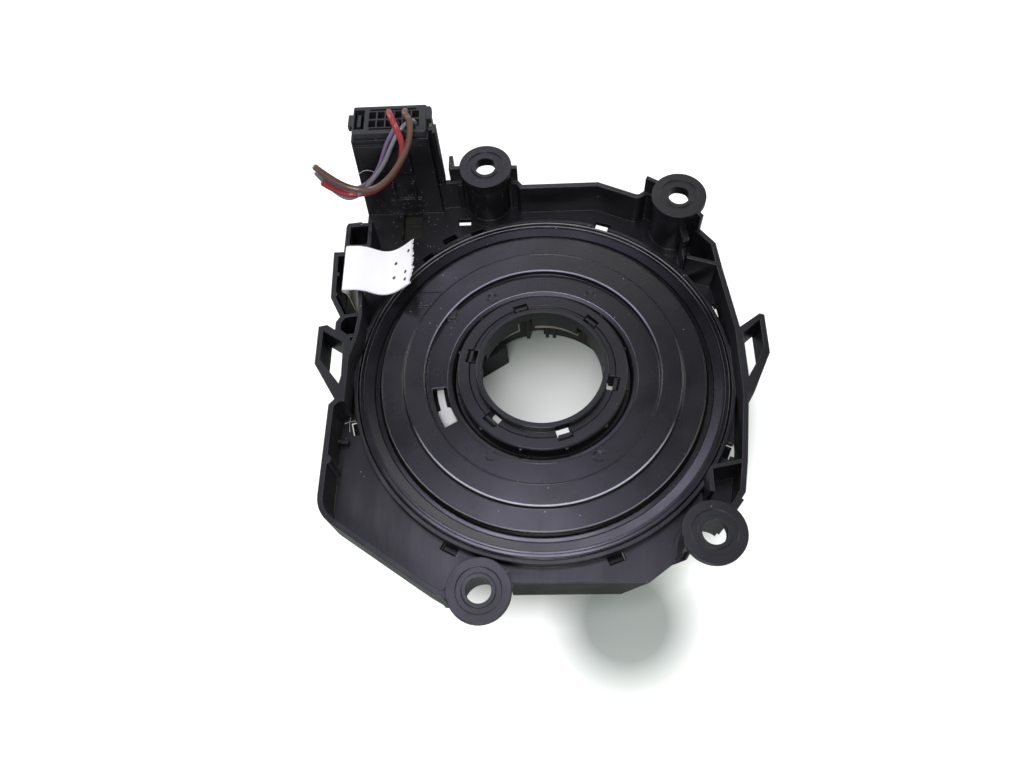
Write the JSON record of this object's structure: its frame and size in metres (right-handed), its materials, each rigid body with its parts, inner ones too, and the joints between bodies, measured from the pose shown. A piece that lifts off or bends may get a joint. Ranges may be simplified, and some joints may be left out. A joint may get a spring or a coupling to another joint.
{
  "type": "steering clock spring",
  "caption": "Round cassette that carries wiring from a fixed steering column to a turning wheel, with a keyed plug tower, a hub bore and flanged screw bosses.",
  "frame": {"origin": "on the turning axis, at the top face of the stator's cover ring", "axes": "+Z along the turning axis towards the steering column side, which the open bosses and the plug tower face; the line through each pair of bosses is along Y, with the plug tower on the -X +Y corner"},
  "size_m": [0.1328, 0.1484, 0.0609],
  "materials": {
    "housing_black": "satin",
    "ring_black": "satin",
    "rotor_black": "satin",
    "hub_black": "satin",
    "drum_black": "satin",
    "cream_plastic": "satin",
    "white_plastic": "satin",
    "olive_plastic": "satin",
    "plug_grey": "satin",
    "flat_cable": "glossy",
    "white_cable": "satin",
    "tinned_metal": "satin",
    "wire_brown": "satin",
    "wire_red": "satin",
    "wire_violet": "satin",
    "wire_grey": "satin"
  },
  "bodies": {
    "stator": {"housing": "housing_black", "cover_ring": "ring_black", "header_pins": "tinned_metal", "stator_terminal_carrier": "olive_plastic", "outer_coil": "flat_cable", "ribbon_tail": "white_cable", "plug_housing": "plug_grey", "terminal_lock": "plug_grey", "terminal_brown": "tinned_metal", "terminal_red": "tinned_metal", "terminal_violet": "tinned_metal", "terminal_grey": "tinned_metal", "wire_brown": "wire_brown", "wire_red": "wire_red", "wire_violet": "wire_violet", "wire_grey": "wire_grey"},
    "rotor": {"rotor_disc": "rotor_black", "hub_ring": "hub_black", "rotor_drum": "drum_black", "wheel_side_cover": "drum_black", "inner_coil": "flat_cable", "rotor_terminal_carrier": "cream_plastic", "wheel_socket_pins": "tinned_metal"},
    "carrier": {"guide_carrier": "white_plastic"},
    "roller_1": {"roller_1": "white_plastic"},
    "roller_2": {"roller_2": "white_plastic"},
    "roller_3": {"roller_3": "white_plastic"},
    "roller_4": {"roller_4": "white_plastic"},
    "roller_5": {"roller_5": "white_plastic"},
    "roller_6": {"roller_6": "white_plastic"}
  },
  "joints": [
    {"name": "rotor_turn", "type": "hinge", "parent": "stator", "child": "rotor", "pos_m": [0, 0, 0], "axis": [0, 0, 1], "range_deg": [-900, 900]},
    {"name": "carrier_turn", "type": "hinge", "parent": "stator", "child": "carrier", "pos_m": [0, 0, 0], "axis": [0, 0, 1], "range_deg": [-375, 375]},
    {"name": "roller_1_spin", "type": "hinge", "parent": "carrier", "child": "roller_1", "pos_m": [-0.03587, -0.01673, -0.009], "axis": [0, 0, 1], "range_deg": [-3300, 3300]},
    {"name": "roller_2_spin", "type": "hinge", "parent": "carrier", "child": "roller_2", "pos_m": [-0.00345, -0.03943, -0.009], "axis": [0, 0, 1], "range_deg": [-3300, 3300]},
    {"name": "roller_3_spin", "type": "hinge", "parent": "carrier", "child": "roller_3", "pos_m": [0.03242, -0.0227, -0.009], "axis": [0, 0, 1], "range_deg": [-3300, 3300]},
    {"name": "roller_4_spin", "type": "hinge", "parent": "carrier", "child": "roller_4", "pos_m": [0.03587, 0.01673, -0.009], "axis": [0, 0, 1], "range_deg": [-3300, 3300]},
    {"name": "roller_5_spin", "type": "hinge", "parent": "carrier", "child": "roller_5", "pos_m": [0.00345, 0.03943, -0.009], "axis": [0, 0, 1], "range_deg": [-3300, 3300]},
    {"name": "roller_6_spin", "type": "hinge", "parent": "carrier", "child": "roller_6", "pos_m": [-0.03242, 0.0227, -0.009], "axis": [0, 0, 1], "range_deg": [-3300, 3300]}
  ],
  "couplings": [
    {"joint": "carrier_turn", "follows": "rotor_turn", "ratio": 0.4151},
    {"joint": "roller_1_spin", "follows": "rotor_turn", "ratio": -3.6282},
    {"joint": "roller_2_spin", "follows": "rotor_turn", "ratio": -3.6282},
    {"joint": "roller_3_spin", "follows": "rotor_turn", "ratio": -3.6282},
    {"joint": "roller_4_spin", "follows": "rotor_turn", "ratio": -3.6282},
    {"joint": "roller_5_spin", "follows": "rotor_turn", "ratio": -3.6282},
    {"joint": "roller_6_spin", "follows": "rotor_turn", "ratio": -3.6282}
  ]
}
